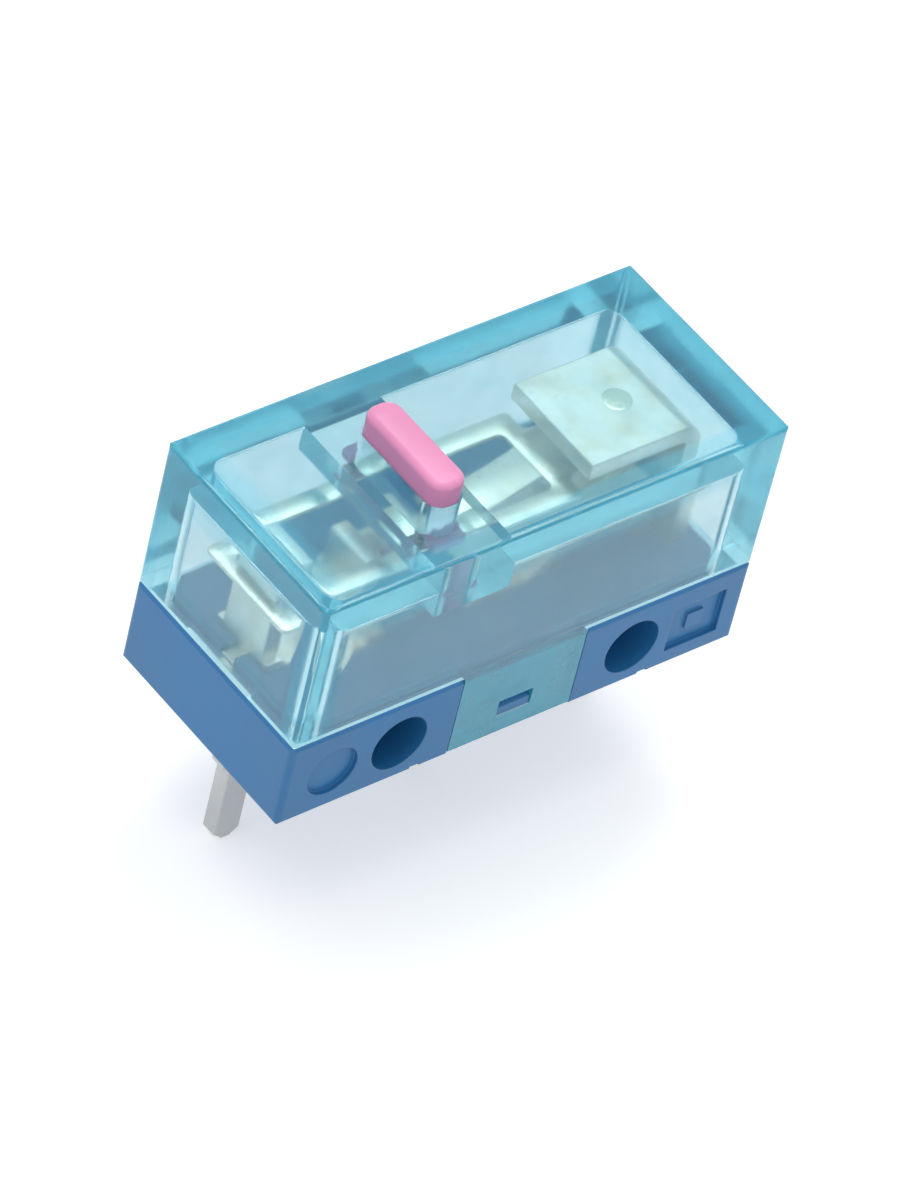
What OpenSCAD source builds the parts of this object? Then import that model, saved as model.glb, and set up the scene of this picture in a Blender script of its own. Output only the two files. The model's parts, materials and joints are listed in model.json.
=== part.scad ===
// Subminiature snap-action micro switch with a clear cover, for printed circuit boards.
// Millimetres. +X runs along the body from terminal 1 to terminal 3, +Z is up.
// The origin is the centre of the base's underside, which seats on the board.

/* [Body] */
// Length of the body
body_l = 12.8; // [11.8:0.1:14]
// Width of the body
body_w = 5.8; // [5.6:0.1:6.6]
// Height of the cover's top above the board
body_h = 6.5; // [6.4:0.1:7.4]
// Height of the parting line between base and cover
base_h = 2.3; // [2.2:0.05:2.45]
// Radius of the body's upright edges
edge_r = 0.15; // [0.05:0.05:0.3]
// Radius of the edges round the top of the cover and the foot of the base
rim_r = 0.1; // [0.05:0.05:0.2]
// Bevel of the edges along the parting line
seam_bevel = 0.07; // [0.02:0.01:0.1]
// Gap between parts that are pushed together
fit = 0.03; // [0.01:0.01:0.06]
// Gap along the parting line, where the cover's walls end above the base
seat_gap = 0.02; // [0.01:0.01:0.05]
// Gap between the base and the metal moulded into it
mould_gap = 0.005; // [0.005:0.005:0.02]

/* [Cover] */
// Thickness of the cover's long walls
wall = 0.5; // [0.45:0.05:0.78]
// Thickness of the cover's end walls
end_wall = 0.75; // [0.5:0.05:0.85]
// Thickness of the cover's roof
roof = 1.1; // [0.6:0.05:1.2]
// Radius of the upright corners inside the cover
inner_r = 0.5; // [0.2:0.1:0.7]
// Radius of the edges under the roof
ceiling_r = 0.1; // [0.05:0.05:0.3]
// Width of each clip tab
tab_w = 3.4; // [2.6:0.1:4]
// Thickness of each clip tab
tab_t = 0.4; // [0.3:0.05:0.5]
// Height of the clip tabs' lower edge
tab_z = 0.1; // [0.05:0.05:0.3]
// Width of the latch window in each tab
window_w = 0.95; // [0.6:0.05:1.4]
// Height of the latch window in each tab
window_h = 0.5; // [0.3:0.05:0.7]
// Height of the middle of the latch window
window_z = 0.85; // [0.7:0.05:1.1]
// Width of the relief notch under each end wall
notch_w = 2.3; // [1.5:0.1:3]
// Height of the relief notch under each end wall
notch_h = 0.08; // [0.04:0.02:0.16]
// Thickness of the plunger's guide on each side of its slot
guide_t = 0.55; // [0.3:0.05:0.7]
// Depth of the plunger's guide below the roof
guide_h = 0.7; // [0.5:0.02:0.72]

/* [Base] */
// Height of the floor inside the cover
floor_z = 2.6; // [2.5:0.05:2.7]
// Inset of the block under the open terminal's contact plate, on each side
block_inset = 0.25; // [0.1:0.05:0.4]
// Width of the grooves across the underside
groove_w = 0.3; // [0.2:0.05:0.5]
// Depth of the grooves across the underside
groove_d = 0.12; // [0.05:0.01:0.2]
// Distance from the body's middle to the first groove
groove_1_x = 2.6; // [2.2:0.1:3]
// Distance from the body's middle to the second groove
groove_2_x = 3.8; // [3.4:0.1:4]
// Diameter of the round mark on the front
mark_d = 1.35; // [1:0.05:1.6]
// Depth of the marks on the front
mark_depth = 0.12; // [0.05:0.01:0.2]
// Length of the square mark on the front
mark_l = 1.5; // [1:0.1:1.6]
// Height of the square mark on the front
mark_h = 1.3; // [0.8:0.1:1.5]
// Side of the pip in the square mark
pip = 0.45; // [0.2:0.05:0.6]

/* [Mounting holes] */
// Diameter of the mounting holes
hole_d = 1.5; // [1.4:0.05:1.6]
// Distance between the mounting holes
hole_pitch = 6.5; // [6.4:0.05:6.6]
// Height of the mounting holes
hole_z = 1.1; // [1.05:0.05:1.15]

/* [Terminals] */
// Distance from each end of the body to the middle of the outer terminal
pin_inset = 1.32; // [1.28:0.01:1.34]
// Thickness of the terminals' sheet metal
sheet_t = 0.45; // [0.35:0.05:0.5]
// Radius of the folds, at the middle of the sheet
fold_r = 0.4; // [0.3:0.05:0.5]
// Depth of the closed terminal's upright in the base
root_d = 1.3; // [0.8:0.1:1.6]
// Distance from the body's middle to the foot of the open terminal's ramp
step_x = 1.3; // [1:0.1:1.5]
// Gap between the closed terminal's plate and the roof
roof_gap = 0.08; // [0.03:0.01:0.1]
// Width of a terminal at its shoulder
shoulder_w = 1.1; // [1:0.05:1.2]
// Length of a terminal from the board to the end of its shoulder
shoulder_l = 1.1; // [0.6:0.1:1.6]
// Width of a terminal below its shoulder
pin_w = 0.7; // [0.5:0.05:0.9]
// Length of a terminal below the base
pin_l = 3.5; // [2.5:0.1:4]
// Length of the bevels at a terminal's tip
tip_bevel = 0.2; // [0.05:0.05:0.3]
// Width of the sheet metal on the floor
plate_w = 1.8; // [1.6:0.1:2]
// Width of the closed terminal's plate under the roof
arch_w = 2.9; // [2.2:0.1:3.1]
// Length of that plate, from the terminal's upright to its free end
arch_l = 2.98; // [2.1:0.02:3.2]
// Width of the posts that hold the spring
post_w = 1.4; // [1:0.1:1.5]
// Height of the hook post above the spring
hook_rise = 0.4; // [0.3:0.05:0.5]
// Depth of the notches in the posts
notch_d = 0.14; // [0.08:0.02:0.16]
// Distance between the hook post and the tongue post
post_span = 2.1; // [1.9:0.1:2.2]

/* [Spring] */
// Thickness of the snap spring
spring_t = 0.1; // [0.06:0.02:0.14]
// Width of the snap spring
spring_w = 2.9; // [2.7:0.1:3.1]
// Width of each of the spring's legs
leg_w = 0.5; // [0.4:0.05:0.55]
// Width of the spring's contact arm
arm_w = 1.6; // [1.3:0.1:1.8]
// Width of the band that hooks on the post
band_w = 0.4; // [0.3:0.05:0.45]
// Width of the tongue
tongue_w = 1; // [0.6:0.1:1.2]
// Distance from the body's middle to the root of the tongue
tongue_x = 1.6; // [1:0.1:2]
// Depth of the tongue's seat below the spring
seat_drop = 0.75; // [0.6:0.05:0.9]
// Bow of the tongue below its chord
tongue_bow = 0.22; // [0.1:0.02:0.3]

/* [Contacts] */
// Distance from the closed terminal's upright to the contacts
contact_inset = 1.18; // [1.08:0.02:1.38]
// Diameter of the contacts
contact_d = 1.1; // [0.9:0.05:1.2]
// Height of each contact's head
contact_h = 0.2; // [0.16:0.01:0.22]
// Diameter of the contacts' shanks
shank_d = 0.6; // [0.4:0.05:0.7]
// Radius of the domed faces of the contacts
dome_r = 1.6; // [1.2:0.1:3]

/* [Plunger] */
// Distance from the body's middle to the plunger
plunger_x = 1.95; // [1.85:0.05:2.05]
// Length of the plunger across the body
plunger_l = 2.85; // [2.6:0.05:3.1]
// Width of the plunger along the body
plunger_w = 0.9; // [0.8:0.05:1.1]
// Height of the plunger's top above the cover
plunger_rise = 0.6; // [0.56:0.02:1]
// Radius of the plunger's upright edges
plunger_r = 0.37; // [0.2:0.01:0.38]
// Radius of the edges round the plunger's top
crown_r = 0.17; // [0.05:0.01:0.3]
// Bevel round the plunger's foot
foot_bevel = 0.06; // [0.02:0.01:0.1]
// Travel of the plunger and of the moving contact
travel = 0.5; // [0.3:0.05:0.55]
// Gap round the plunger in its slot
slot_gap = 0.04; // [0.02:0.01:0.08]
// Length of the ears that keep the plunger in, beyond each of its ends
ear_l = 0.3; // [0.2:0.05:0.35]
// Height of the arch in the plunger's foot, over the tongue
foot_arch = 0.3; // [0.2:0.05:0.4]

/* [Hidden] */
$fn = 64;
// How far a cutting shape runs past the face that it cuts
past = 1;
// Steps along each fold and along the tongue
fold_steps = 8;
tongue_steps = 24;
// The cavity of the cover, and the plug of the base that fits in it
cavity_l = body_l - 2 * end_wall;
cavity_w = body_w - 2 * wall;
ceiling_z = body_h - roof;
guide_z = ceiling_z - guide_h;
plug_l = cavity_l - 2 * fit;
plug_w = cavity_w - 2 * fit;
// The distance from one terminal to the next, and the place of the contacts
pin_pitch = body_l / 2 - pin_inset;
contact_x = pin_pitch - contact_inset;
// The face of the recess behind each clip tab
recess_y = body_w / 2 - tab_t - fit;
// The middle of the sheet that lies flush with the floor
sheet_z = floor_z - sheet_t / 2;
// The stack of the contacts, from the roof down
arch_z = ceiling_z - roof_gap - sheet_t;
closed_face_z = arch_z - contact_h;
spring_top_z = closed_face_z - contact_h;
spring_z = spring_top_z - spring_t;
spring_mid_z = spring_z + spring_t / 2;
open_face_z = spring_z - contact_h - travel;
plate_z = open_face_z - contact_h;
// The posts that hold the spring, and the bottoms of their notches
hook_x = -pin_pitch;
tongue_post_x = hook_x + post_span;
hook_notch_x = hook_x - sheet_t / 2 + notch_d;
seat_x = tongue_post_x + sheet_t / 2 - notch_d;
seat_z = spring_mid_z - seat_drop;
notch_z = 2 * spring_t + 0.1;
// The spring's band sits in the hook post's notch
band_x = hook_notch_x - fit;
slot_w = spring_w - 2 * leg_w;
// The end of the contact arm and of the plate under it
arm_end_x = contact_x + contact_d / 2 + 0.1;
// The rise of the open terminal's ramp, which slopes at 45 degrees
ramp = plate_z - floor_z;
// The middle radius of the ramp's two folds, which both fit on a short ramp
ramp_fold_r = min(fold_r, 1.5 * ramp);
// The middle lines of the three terminals' sheets, inside the switch
common_path = [[hook_x, spring_top_z + hook_rise], [hook_x, sheet_z],
               [tongue_post_x, sheet_z], [tongue_post_x, seat_z + notch_z]];
open_path = [[-shoulder_w / 2, sheet_z], [step_x, sheet_z],
             [step_x + ramp, plate_z - sheet_t / 2], [arm_end_x, plate_z - sheet_t / 2]];
closed_path = [[pin_pitch, floor_z - root_d], [pin_pitch, arch_z + sheet_t / 2],
               [pin_pitch - arch_l, arch_z + sheet_t / 2]];

// A rectangle with rounded corners, in the plane
module round_rect(l, w, r) {
    square([l - 2 * r, w], center = true);
    square([l, w - 2 * r], center = true);
    for (x = [-1, 1], y = [-1, 1])
        translate([x * (l / 2 - r), y * (w / 2 - r)]) circle(r);
}

// A side view of a block: rounded at the top, with bevel b at the foot
module side_view(l, z0, z1, r_top, b) {
    deep = z1 - z0 + 2 * r_top;
    x = l / 2;
    intersection() {
        translate([0, z1 - deep / 2]) round_rect(l, deep, r_top);
        polygon([[b - x, z0], [x - b, z0], [x, z0 + b], [x, z1], [-x, z1], [-x, z0 + b]]);
    }
}

// A block between z0 and z1, with rounded upright edges and the edges of that side view
module soft_block(l, w, z0, z1, r_side, r_top, bevel) {
    intersection() {
        translate([0, 0, z0]) linear_extrude(z1 - z0) round_rect(l, w, r_side);
        rotate([90, 0, 0])
            linear_extrude(w + past, center = true) side_view(l, z0, z1, r_top, bevel);
        rotate([90, 0, 90])
            linear_extrude(l + past, center = true) side_view(w, z0, z1, r_top, bevel);
    }
}

// A box given by its ranges along X, Y and Z
module span(x, y, z) {
    translate([x[0], y[0], z[0]]) cube([x[1] - x[0], y[1] - y[0], z[1] - z[0]]);
}

// Its children, once on the front and once on the back
module both_sides() {
    children();
    mirror([0, 1, 0]) children();
}

// An outline in the XZ plane, made w thick across the body
module upright(w) {
    rotate([90, 0, 0]) linear_extrude(w, center = true) children();
}

// The unit vector from a to b
function along(a, b) = (b - a) / norm(b - a);

// The points of a fold of radius r at corner b, on the way from a to c
function fold(a, b, c, r) =
    let (u = along(b, a), v = along(b, c), half = acos(u * v) / 2,
         centre = b + along([0, 0], u + v) * r / sin(half),
         from = b + u * r / tan(half), to = b + v * r / tan(half))
    [for (i = [0 : fold_steps])
        let (k = i / fold_steps)
        centre + along(centre, from * (1 - k) + to * k) * r];

// A path with each of its inner corners folded
function folded(p, r) = concat([p[0]],
    [for (i = [1 : len(p) - 2]) each fold(p[i - 1], p[i], p[i + 1], r)], [p[len(p) - 1]]);

// The line that runs at distance d beside a path
function beside(p, d) = [for (i = [0 : len(p) - 1])
    let (a = along(p[max(i - 1, 0)], p[max(i, 1)]),
         b = along(p[min(i, len(p) - 2)], p[min(i + 1, len(p) - 1)]))
    p[i] + [-a[1] - b[1], a[0] + b[0]] * d / (1 + a * b)];

// The outline of a strip of thickness t along a path
function strip(p, t) = concat(beside(p, t / 2), [for (i = [len(p) - 1 : -1 : 0]) beside(p, -t / 2)[i]]);

// The points of an arc from a to b that bows by bow to the right of the way
function arc(a, b, bow, steps) =
    let (half = norm(b - a) / 2, r = (half * half + bow * bow) / (2 * bow), u = along(a, b),
         centre = (a + b) / 2 + [-u[1], u[0]] * (r - bow), sweep = 2 * asin(half / r))
    [for (i = [0 : steps])
        let (k = sweep * (i / steps - 0.5))
        centre + r * [u[0] * sin(k) + u[1] * cos(k), u[1] * sin(k) - u[0] * cos(k)]];

// Sheet metal along a path, w wide, with folds of middle radius r
module sheet(path, w, grow = 0, r = fold_r) {
    upright(w + 2 * grow) polygon(strip(folded(path, r), sheet_t + 2 * grow));
}

// A terminal's blade, from its tip up to top
module pin(top, grow = 0) {
    s = shoulder_w / 2 + grow;
    w = pin_w / 2;
    neck_z = -shoulder_l - (shoulder_w - pin_w) / 2;
    upright(sheet_t + 2 * grow)
        polygon([[-s, top], [-s, -shoulder_l], [-w, neck_z], [-w, tip_bevel - pin_l],
                 [tip_bevel - w, -pin_l], [w - tip_bevel, -pin_l], [w, tip_bevel - pin_l],
                 [w, neck_z], [s, -shoulder_l], [s, top]]);
}

// The metal of each terminal, before its notches and holes are cut
module common_metal(grow = 0) {
    translate([-pin_pitch, 0, 0]) pin(floor_z, grow);
    sheet(common_path, plate_w, grow);
}
module open_metal(grow = 0) {
    pin(floor_z, grow);
    sheet(open_path, plate_w, grow, ramp_fold_r);
}
module closed_metal(grow = 0) {
    translate([pin_pitch, 0, 0]) pin(floor_z - sheet_t, grow);
    sheet(closed_path, arch_w, grow);
}

// The head of a contact, domed on top, standing on the plane
module head() {
    rotate_extrude() intersection() {
        square([contact_d / 2, contact_h]);
        translate([0, contact_h - dome_r]) circle(dome_r, $fn = 128);
    }
}

// The block that backs the open terminal's ramp and contact plate
module block() {
    upright(plate_w - 2 * block_inset)
        polygon(concat(folded(open_path, ramp_fold_r), [[arm_end_x - block_inset, floor_z - sheet_t],
                                                   [step_x, floor_z - sheet_t]]));
}

// The nub that the cover's tab latches on, sloped above to let the tab slide on
module nub() {
    x = window_w / 2 - fit;
    low = window_z - window_h / 2 + fit;
    high = window_z + window_h / 2 - fit;
    out = recess_y + tab_t;
    translate([-x, 0, 0]) rotate([90, 0, 90]) linear_extrude(2 * x)
        polygon([[recess_y - fit, low], [out, low], [out, (low + high) / 2], [recess_y - fit, high]]);
}

// The marks in the front of the base: a round one, and a square one with a pip
module marks() {
    y = [-body_w / 2 - past, -body_w / 2 + mark_depth];
    translate([-pin_pitch, y[1], hole_z]) rotate([90, 0, 0]) cylinder(h = past, d = mark_d);
    difference() {
        span([pin_pitch - mark_l / 2, pin_pitch + mark_l / 2], y,
             [hole_z - mark_h / 2, hole_z + mark_h / 2]);
        span([pin_pitch - pip / 2, pin_pitch + pip / 2], [-body_w / 2 + mark_depth / 2, body_w],
             [hole_z - pip / 2, hole_z + pip / 2]);
    }
}

module base() {
    color("steelblue") {
        difference() {
            union() {
                mirror([0, 0, 1]) soft_block(body_l, body_w, -base_h, 0, edge_r, rim_r, seam_bevel);
                linear_extrude(floor_z) round_rect(plug_l, plug_w, inner_r);
                block();
            }
            both_sides()
                span([-tab_w / 2 - fit, tab_w / 2 + fit], [-body_w, -recess_y], [-past, base_h + past]);
            for (x = [-1, 1])
                translate([x * hole_pitch / 2, 0, hole_z]) rotate([90, 0, 0])
                    cylinder(h = body_w + past, d = hole_d, center = true);
            for (x = [-groove_1_x, groove_2_x])
                span([x - groove_w / 2, x + groove_w / 2], [-body_w, body_w], [-past, groove_d]);
            marks();
            common_metal(mould_gap);
            open_metal(mould_gap);
            closed_metal(mould_gap);
        }
        both_sides() nub();
    }
}

// The block under the roof that guides the plunger, from one side wall to the other
module guide() {
    x = plunger_w / 2 + slot_gap + guide_t;
    y = (cavity_w + wall) / 2;
    span([-plunger_x - x, x - plunger_x], [-y, y], [guide_z, ceiling_z + roof / 2]);
}

module cover() {
    color([0.45, 0.8, 0.86, 0.45]) {
        difference() {
            union() {
                difference() {
                    soft_block(body_l, body_w, base_h + seat_gap, body_h, edge_r, rim_r, seam_bevel);
                    soft_block(cavity_l, cavity_w, base_h - past, ceiling_z, inner_r, ceiling_r,
                               seam_bevel);
                }
                guide();
            }
            translate([-plunger_x, 0, guide_z - past]) linear_extrude(body_h)
                round_rect(plunger_w + 2 * slot_gap, plunger_l + 2 * slot_gap, plunger_r + slot_gap);
            span([-body_l, body_l], [-notch_w / 2, notch_w / 2], [0, base_h + notch_h]);
        }
        both_sides() difference() {
            span([-tab_w / 2, tab_w / 2], [-body_w / 2, tab_t - body_w / 2], [tab_z, base_h + notch_h]);
            span([-window_w / 2, window_w / 2], [-body_w, 0],
                 [window_z - window_h / 2, window_z + window_h / 2]);
        }
    }
}

module plunger() {
    color("hotpink") translate([-plunger_x, 0, 0]) difference() {
        union() {
            soft_block(plunger_w, plunger_l, spring_top_z, body_h + plunger_rise,
                       plunger_r, crown_r, foot_bevel);
            translate([0, 0, spring_top_z]) linear_extrude(guide_z - fit - spring_top_z)
                round_rect(plunger_w, plunger_l + 2 * ear_l, plunger_r);
        }
        span([-plunger_w, plunger_w], [-slot_w / 2, slot_w / 2], [0, spring_top_z + foot_arch]);
    }
}

module common_terminal() {
    color("silver") difference() {
        common_metal();
        // The posts are narrower than the web that joins them
        both_sides()
            span([-body_l, 0], [-body_w, -post_w / 2], [floor_z + fold_r / 2, body_h]);
        // The notches for the spring's band and for its tongue
        span([-body_l, hook_notch_x], [-body_w, body_w],
             [spring_mid_z - notch_z / 2, spring_mid_z + notch_z / 2]);
        span([seat_x, 0], [-body_w, body_w], [seat_z - notch_z / 2, seat_z + notch_z / 2]);
    }
}

module normally_open_terminal() {
    color("silver") difference() {
        open_metal();
        translate([contact_x, 0, 0]) cylinder(h = body_h, d = shank_d);
    }
}

module normally_closed_terminal() {
    color("silver") difference() {
        closed_metal();
        translate([contact_x, 0, 0]) cylinder(h = body_h, d = shank_d);
    }
}

module snap_spring() {
    tongue = concat(arc([seat_x + fit, seat_z], [tongue_x, spring_mid_z], tongue_bow, tongue_steps),
                    [[tongue_x + leg_w, spring_mid_z]]);
    color("gainsboro") {
        translate([0, 0, spring_z]) linear_extrude(spring_t) difference() {
            union() {
                translate([band_x - band_w, -spring_w / 2])
                    square([tongue_x + leg_w - band_x + band_w, spring_w]);
                translate([tongue_x, -arm_w / 2]) square([arm_end_x - arm_w / 2 - tongue_x, arm_w]);
                translate([arm_end_x - arm_w / 2, 0]) circle(arm_w / 2);
            }
            translate([band_x, -slot_w / 2]) square([tongue_x - band_x, slot_w]);
            translate([contact_x, 0]) circle(d = shank_d);
        }
        upright(tongue_w) polygon(strip(tongue, spring_t));
    }
}

module moving_contact() {
    color("gold") translate([contact_x, 0, 0]) {
        translate([0, 0, spring_top_z]) head();
        translate([0, 0, spring_z]) cylinder(h = spring_t, d = shank_d);
        translate([0, 0, spring_z]) mirror([0, 0, 1]) head();
    }
}

module normally_open_contact() {
    color("gold") translate([contact_x, 0, plate_z - sheet_t]) {
        translate([0, 0, sheet_t]) head();
        cylinder(h = sheet_t, d = shank_d);
    }
}

module normally_closed_contact() {
    color("gold") translate([contact_x, 0, arch_z + sheet_t]) mirror([0, 0, 1]) {
        translate([0, 0, sheet_t]) head();
        cylinder(h = sheet_t, d = shank_d);
    }
}

base();
cover();
plunger();
common_terminal();
normally_open_terminal();
normally_closed_terminal();
snap_spring();
moving_contact();
normally_open_contact();
normally_closed_contact();
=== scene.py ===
"""The looks of a subminiature snap-action switch.

A clear tinted cover sits on a blue base. Inside it a slotted snap spring carries a contact
between two fixed ones, and a pink plunger presses the spring's legs. Three tinned terminals
leave the base. Sizes are written in millimetres and multiplied by MM, because the frame is in
metres. +X runs from terminal 1 to terminal 3, and +Z is up.
"""

from __future__ import annotations

import json
import logging
import math
from collections.abc import Mapping, Sequence
from dataclasses import dataclass
from enum import Enum

import bpy
import numpy as np
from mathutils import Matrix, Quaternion, Vector

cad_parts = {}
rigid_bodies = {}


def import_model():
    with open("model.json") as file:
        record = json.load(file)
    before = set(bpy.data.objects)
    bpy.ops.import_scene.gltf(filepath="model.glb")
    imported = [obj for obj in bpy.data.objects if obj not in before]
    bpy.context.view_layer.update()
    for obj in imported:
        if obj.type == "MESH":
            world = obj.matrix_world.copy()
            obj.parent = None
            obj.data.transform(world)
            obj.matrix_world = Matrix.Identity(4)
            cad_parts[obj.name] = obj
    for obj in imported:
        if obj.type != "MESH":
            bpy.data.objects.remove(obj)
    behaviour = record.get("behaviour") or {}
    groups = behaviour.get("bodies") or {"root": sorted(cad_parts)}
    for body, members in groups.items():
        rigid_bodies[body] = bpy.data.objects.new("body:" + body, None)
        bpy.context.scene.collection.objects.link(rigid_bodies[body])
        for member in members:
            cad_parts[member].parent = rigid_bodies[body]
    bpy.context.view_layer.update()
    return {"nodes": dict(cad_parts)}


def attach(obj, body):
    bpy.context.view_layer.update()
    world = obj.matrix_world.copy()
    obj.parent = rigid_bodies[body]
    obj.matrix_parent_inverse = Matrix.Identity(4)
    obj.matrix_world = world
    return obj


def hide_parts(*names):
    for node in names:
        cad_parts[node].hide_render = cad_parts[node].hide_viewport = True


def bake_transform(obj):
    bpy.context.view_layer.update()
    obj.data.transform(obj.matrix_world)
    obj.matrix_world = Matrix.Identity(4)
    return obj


LOG = logging.getLogger("switch")
MM = 0.001
QUARTER = np.pi / 2
# From here on, half the angle between a corner's sides is so wide that it needs no arc
NEARLY_STRAIGHT = math.radians(85)

Colour = tuple[float, float, float]
Triple = tuple[float, float, float]
Pair = tuple[float, float]


class Body(Enum):
    """The parts that move on their own."""

    CASE = "case"
    PLUNGER = "plunger"
    BLADE = "blade"


class Slot(Enum):
    """The finishes that the record names."""

    BASE = "base_plastic"
    COVER = "clear_cover"
    PLUNGER = "plunger_plastic"
    TERMINAL = "terminal_metal"
    SPRING = "spring_metal"
    CONTACT = "contact_metal"


class Detail(Enum):
    """How many octaves a noise has, by what it stands for."""

    WAVES = 1.0
    GRAIN = 2.0
    LINES = 3.0
    CLOUDS = 4.0


# ---------------------------------------------------------------- shaders


class Wire:
    """One output socket, on which Python's operators add Math nodes."""

    def __init__(self, graph: Graph, socket: bpy.types.NodeSocket) -> None:
        """Keeps the socket and the graph that it belongs to."""
        self.graph = graph
        self.socket = socket

    def __add__(self, other: Wire | float) -> Wire:
        """self + other."""
        return self.graph.math("ADD", self, other)

    def __radd__(self, other: float) -> Wire:
        """other + self."""
        return self.graph.math("ADD", other, self)

    def __sub__(self, other: Wire | float) -> Wire:
        """self - other."""
        return self.graph.math("SUBTRACT", self, other)

    def __rsub__(self, other: float) -> Wire:
        """other - self."""
        return self.graph.math("SUBTRACT", other, self)

    def __mul__(self, other: Wire | float) -> Wire:
        """self * other."""
        return self.graph.math("MULTIPLY", self, other)

    def __rmul__(self, other: float) -> Wire:
        """other * self."""
        return self.graph.math("MULTIPLY", other, self)


class Graph:
    """A node tree, and the methods that add nodes to it."""

    def __init__(self, tree: bpy.types.NodeTree) -> None:
        """Empties the tree."""
        self.tree = tree
        self.tree.nodes.clear()

    def node(
        self,
        kind: str,
        settings: Mapping[str, object] | None = None,
        sockets: Mapping[str | int, object] | None = None,
    ) -> bpy.types.Node:
        """Adds a node.

        Args:
            kind: The node's type.
            settings: Its properties, set first.
            sockets: What each input, by name or number, holds: a value or a Wire.

        Returns:
            The new node.
        """
        node = self.tree.nodes.new(kind)
        for key, value in (settings or {}).items():
            setattr(node, key, value)
        for key, value in (sockets or {}).items():
            self.feed(node, key, value)
        return node

    def feed(self, node: bpy.types.Node, key: str | int, value: object) -> None:
        """Links a Wire to an input, or sets the input's value.

        Args:
            node: The node.
            key: The input's name or number.
            value: The Wire, or the value.
        """
        if isinstance(value, Wire):
            self.tree.links.new(value.socket, node.inputs[key])
        else:
            node.inputs[key].default_value = value

    def wire(self, node: bpy.types.Node, output: str | int = 0) -> Wire:
        """The Wire of one of a node's outputs."""
        return Wire(self, node.outputs[output])

    def math(self, operation: str, *values: Wire | float) -> Wire:
        """Adds one Math node and returns its result."""
        node = self.node("ShaderNodeMath", {"operation": operation}, dict(enumerate(values)))
        return self.wire(node)

    def mix(self, factor: Wire | float, low: Wire | Colour, high: Wire | Colour) -> Wire:
        """Blends two colours.

        Args:
            factor: From 0, all low, to 1, all high.
            low: The first colour.
            high: The second colour.

        Returns:
            The blended colour.
        """
        ends = [v if isinstance(v, Wire) else (*v, 1.0) for v in (low, high)]
        # The colour inputs are numbers 6 and 7, and the colour output is number 2
        node = self.node(
            "ShaderNodeMix",
            {"data_type": "RGBA", "clamp_factor": True},
            {0: factor, 6: ends[0], 7: ends[1]},
        )
        return self.wire(node, 2)

    def seen(self) -> Wire:
        """Tells the rays that show the background from those that light the switch.

        Returns:
            1 for the camera's rays, and for those off gloss or through glass, and 0 for others.
        """
        path = self.node("ShaderNodeLightPath")
        seen = self.math("MAXIMUM", self.wire(path, "Is Camera Ray"), self.wire(path, "Is Glossy Ray"))
        return self.math("MAXIMUM", seen, self.wire(path, "Is Transmission Ray"))

    def between(self, value: Wire, start: float, end: float) -> Wire:
        """A smooth step: 3t^2 - 2t^3, where t goes from 0 at start to 1 at end.

        Args:
            value: What is compared.
            start: Where the step leaves 0.
            end: Where it reaches 1.

        Returns:
            The step's height.
        """
        ends = {"Value": value, "From Min": start, "From Max": end}
        return self.wire(self.node("ShaderNodeMapRange", {"interpolation_type": "SMOOTHSTEP"}, ends))


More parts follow.
